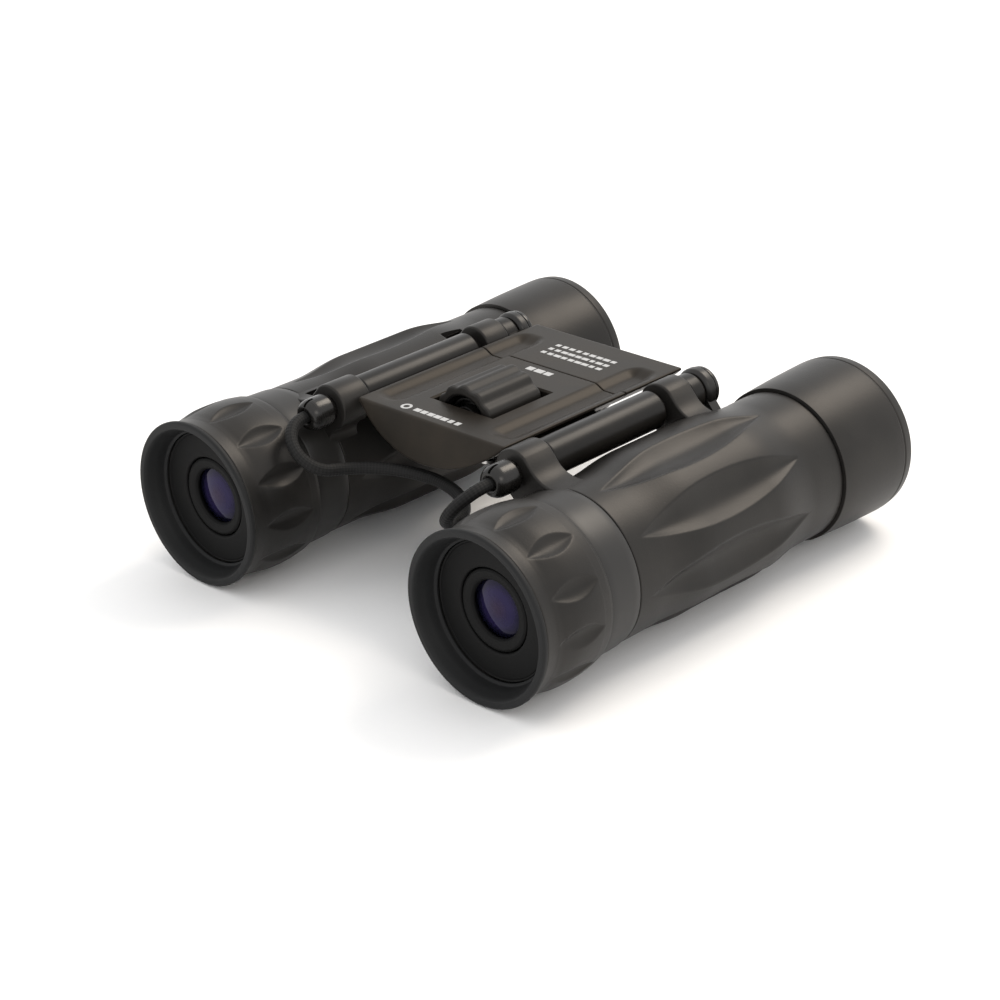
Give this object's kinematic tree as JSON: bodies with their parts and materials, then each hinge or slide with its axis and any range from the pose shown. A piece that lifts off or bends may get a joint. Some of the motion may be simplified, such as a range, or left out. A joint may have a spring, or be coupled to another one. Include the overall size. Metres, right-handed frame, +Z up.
{
  "type": "binoculars",
  "caption": "Compact folding roof-prism binoculars: two fluted barrels hinged to a central bridge with a focus wheel, eyecups and a short braided strap.",
  "frame": {"origin": "on the surface the open binoculars lie on, below the middle of the pair", "axes": "+X from the left barrel to the right, +Y from eyepieces to objectives, +Z up"},
  "size_m": [0.1078, 0.104, 0.0389],
  "materials": {
    "soft_touch": "matte soft-touch",
    "cup_rubber": "matte",
    "band_plastic": "matte",
    "tube_plastic": "matte",
    "black_paint": "matt black",
    "coated_glass": "coated",
    "prism_glass": "polished",
    "cage_plastic": "matte",
    "spring_steel": "brushed",
    "lug_metal": "gloss black",
    "rod_steel": "dark burnished",
    "cover_paint": "satin",
    "frame_plastic": "satin",
    "screw_steel": "plated",
    "wheel_plastic": "satin",
    "grip_rubber": "satin",
    "braid": "braided"
  },
  "bodies": {
    "bridge": {"bridge_frame": "frame_plastic", "top_cover": "cover_paint", "belly_cover": "frame_plastic", "cover_screws": "screw_steel", "strap_cord": "braid"},
    "focus_wheel": {"focus_wheel": "wheel_plastic", "wheel_grip": "grip_rubber"},
    "focus_slider": {"slide_plate": "cover_paint", "lead_screw": "screw_steel", "left_hinge_rod": "rod_steel", "right_hinge_rod": "rod_steel", "left_end_cap": "lug_metal", "right_end_cap": "lug_metal"},
    "left_barrel": {"left_barrel_tube": "tube_plastic", "left_armour": "soft_touch", "left_objective_hood": "soft_touch", "left_eyepiece_tube": "band_plastic", "left_bezel": "black_paint", "left_field_stop": "black_paint", "left_prism_cage": "cage_plastic", "left_roof_prism": "prism_glass", "left_half_prism": "prism_glass", "left_prism_clip": "spring_steel", "left_strap_lug": "lug_metal", "left_eyepiece_ring": "soft_touch", "left_eyecup": "cup_rubber", "left_ocular_cell": "black_paint", "left_eye_lens": "coated_glass", "left_field_lens": "coated_glass"},
    "right_barrel": {"right_barrel_tube": "tube_plastic", "right_armour": "soft_touch", "right_objective_hood": "soft_touch", "right_eyepiece_tube": "band_plastic", "right_bezel": "black_paint", "right_field_stop": "black_paint", "right_prism_cage": "cage_plastic", "right_roof_prism": "prism_glass", "right_half_prism": "prism_glass", "right_prism_clip": "spring_steel", "right_strap_lug": "lug_metal"},
    "left_objective": {"left_objective_cell": "black_paint", "left_objective_lens": "coated_glass", "left_retaining_ring": "black_paint", "left_focus_arm": "rod_steel"},
    "right_objective": {"right_objective_cell": "black_paint", "right_objective_lens": "coated_glass", "right_retaining_ring": "black_paint", "right_focus_arm": "rod_steel"},
    "dioptre_ring": {"right_eyepiece_ring": "soft_touch", "right_eyecup": "cup_rubber"},
    "dioptre_ocular": {"right_ocular_cell": "black_paint", "right_eye_lens": "coated_glass", "right_field_lens": "coated_glass"}
  },
  "joints": [
    {"name": "left_fold", "type": "hinge", "parent": "bridge", "child": "left_barrel", "pos_m": [-0.0242, 0, 0.03225], "axis": [0, -1, 0], "range_deg": [0, 58], "deforming": ["strap_cord"]},
    {"name": "right_fold", "type": "hinge", "parent": "bridge", "child": "right_barrel", "pos_m": [0.0242, 0, 0.03225], "axis": [0, 1, 0], "range_deg": [0, 58]},
    {"name": "focus_turn", "type": "hinge", "parent": "bridge", "child": "focus_wheel", "pos_m": [0, 0, 0.03145], "axis": [0, 1, 0], "range_deg": [0, 300]},
    {"name": "focus_slide", "type": "slide", "parent": "bridge", "child": "focus_slider", "axis": [0, 1, 0], "range_m": [0, 0.0025]},
    {"name": "left_objective_slide", "type": "slide", "parent": "left_barrel", "child": "left_objective", "axis": [0, 1, 0], "range_m": [0, 0.0025]},
    {"name": "right_objective_slide", "type": "slide", "parent": "right_barrel", "child": "right_objective", "axis": [0, 1, 0], "range_m": [0, 0.0025]},
    {"name": "dioptre_turn", "type": "hinge", "parent": "right_barrel", "child": "dioptre_ring", "pos_m": [0.0372, 0, 0.01675], "axis": [0, -1, 0], "range_deg": [-60, 60]},
    {"name": "dioptre_slide", "type": "slide", "parent": "right_barrel", "child": "dioptre_ocular", "axis": [0, -1, 0], "range_m": [-0.0005, 0.0005]}
  ],
  "couplings": [
    {"joint": "focus_turn", "follows": "focus_slide", "rad_per_m": 2094.4},
    {"joint": "left_objective_slide", "follows": "focus_slide", "ratio": 1},
    {"joint": "right_objective_slide", "follows": "focus_slide", "ratio": 1},
    {"joint": "dioptre_turn", "follows": "dioptre_slide", "rad_per_m": 2094.4}
  ]
}
